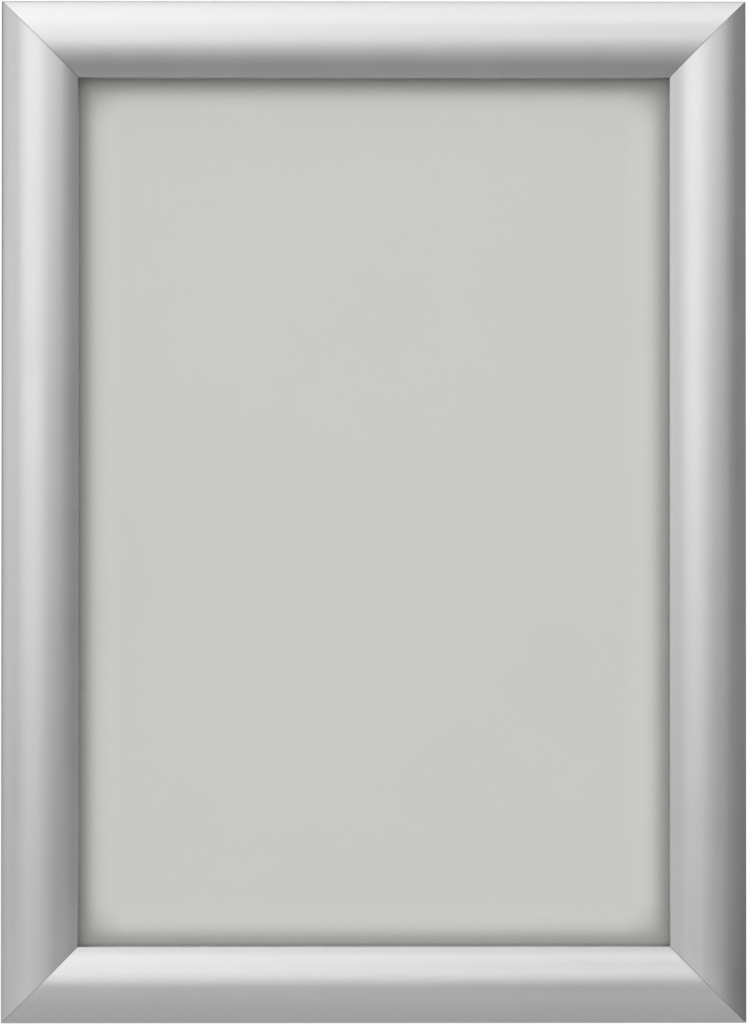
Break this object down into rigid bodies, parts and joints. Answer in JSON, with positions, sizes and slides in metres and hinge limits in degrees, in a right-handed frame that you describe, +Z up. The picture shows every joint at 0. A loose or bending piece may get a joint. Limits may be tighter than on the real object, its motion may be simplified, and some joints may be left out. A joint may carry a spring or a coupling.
{
  "type": "snap poster frame",
  "caption": "Flat portrait wall frame for a paper sheet: mitred bowed metal covers hinge open on springs along the outer edges and clamp a clear sheet over a back panel.",
  "frame": {"origin": "middle of the frame in the wall plane, where the backs of the base rails rest", "axes": "+Z up along the long side, +X to the right seen from the front, +Y into the wall"},
  "size_m": [0.239, 0.012, 0.328],
  "materials": {
    "cover_aluminium": "satin silver anodised, extruded",
    "rail_aluminium": "fine matt anodised, extruded",
    "spring_steel": "cold-rolled spring steel",
    "key_steel": "zinc plated",
    "panel_plastic": "light grey sheet, fine matt",
    "clear_plastic": "clear anti-glare sheet"
  },
  "bodies": {
    "frame": {"base_rail_top": "rail_aluminium", "base_rail_bottom": "rail_aluminium", "base_rail_left": "rail_aluminium", "base_rail_right": "rail_aluminium", "corner_key_upper_left": "key_steel", "corner_key_upper_right": "key_steel", "corner_key_lower_left": "key_steel", "corner_key_lower_right": "key_steel", "back_panel": "panel_plastic", "clear_cover": "clear_plastic"},
    "cover_top": {"snap_cover_top": "cover_aluminium"},
    "cover_bottom": {"snap_cover_bottom": "cover_aluminium"},
    "cover_left": {"snap_cover_left": "cover_aluminium"},
    "cover_right": {"snap_cover_right": "cover_aluminium"},
    "springs_top": {"leaf_spring_top_left": "spring_steel", "leaf_spring_top_right": "spring_steel"},
    "springs_bottom": {"leaf_spring_bottom_left": "spring_steel", "leaf_spring_bottom_right": "spring_steel"},
    "springs_left": {"leaf_spring_left_upper": "spring_steel", "leaf_spring_left_lower": "spring_steel"},
    "springs_right": {"leaf_spring_right_upper": "spring_steel", "leaf_spring_right_lower": "spring_steel"}
  },
  "joints": [
    {"name": "cover_top_hinge", "type": "hinge", "parent": "frame", "child": "cover_top", "pos_m": [0, -0.0024, 0.16175], "axis": [-1, 0, 0], "range_deg": [0, 90], "deforming": ["leaf_spring_top_left", "leaf_spring_top_right"]},
    {"name": "springs_top_rock", "type": "hinge", "parent": "frame", "child": "springs_top", "pos_m": [0, -0.00654, 0.15861], "axis": [-1, 0, 0], "range_deg": [0, 119], "deforming": ["leaf_spring_top_left", "leaf_spring_top_right"]},
    {"name": "cover_bottom_hinge", "type": "hinge", "parent": "frame", "child": "cover_bottom", "pos_m": [0, -0.0024, -0.16175], "axis": [1, 0, 0], "range_deg": [0, 90], "deforming": ["leaf_spring_bottom_left", "leaf_spring_bottom_right"]},
    {"name": "springs_bottom_rock", "type": "hinge", "parent": "frame", "child": "springs_bottom", "pos_m": [0, -0.00654, -0.15861], "axis": [1, 0, 0], "range_deg": [0, 119], "deforming": ["leaf_spring_bottom_left", "leaf_spring_bottom_right"]},
    {"name": "cover_left_hinge", "type": "hinge", "parent": "frame", "child": "cover_left", "pos_m": [-0.11725, -0.0024, 0], "axis": [0, 0, -1], "range_deg": [0, 90], "deforming": ["leaf_spring_left_upper", "leaf_spring_left_lower"]},
    {"name": "springs_left_rock", "type": "hinge", "parent": "frame", "child": "springs_left", "pos_m": [-0.11411, -0.00654, 0], "axis": [0, 0, -1], "range_deg": [0, 119], "deforming": ["leaf_spring_left_upper", "leaf_spring_left_lower"]},
    {"name": "cover_right_hinge", "type": "hinge", "parent": "frame", "child": "cover_right", "pos_m": [0.11725, -0.0024, 0], "axis": [0, 0, 1], "range_deg": [0, 90], "deforming": ["leaf_spring_right_upper", "leaf_spring_right_lower"]},
    {"name": "springs_right_rock", "type": "hinge", "parent": "frame", "child": "springs_right", "pos_m": [0.11411, -0.00654, 0], "axis": [0, 0, 1], "range_deg": [0, 119], "deforming": ["leaf_spring_right_upper", "leaf_spring_right_lower"]}
  ],
  "couplings": [
    {"joint": "springs_top_rock", "follows": "cover_top_hinge", "ratio": 1.3112},
    {"joint": "springs_bottom_rock", "follows": "cover_bottom_hinge", "ratio": 1.3112},
    {"joint": "springs_left_rock", "follows": "cover_left_hinge", "ratio": 1.3112},
    {"joint": "springs_right_rock", "follows": "cover_right_hinge", "ratio": 1.3112}
  ]
}
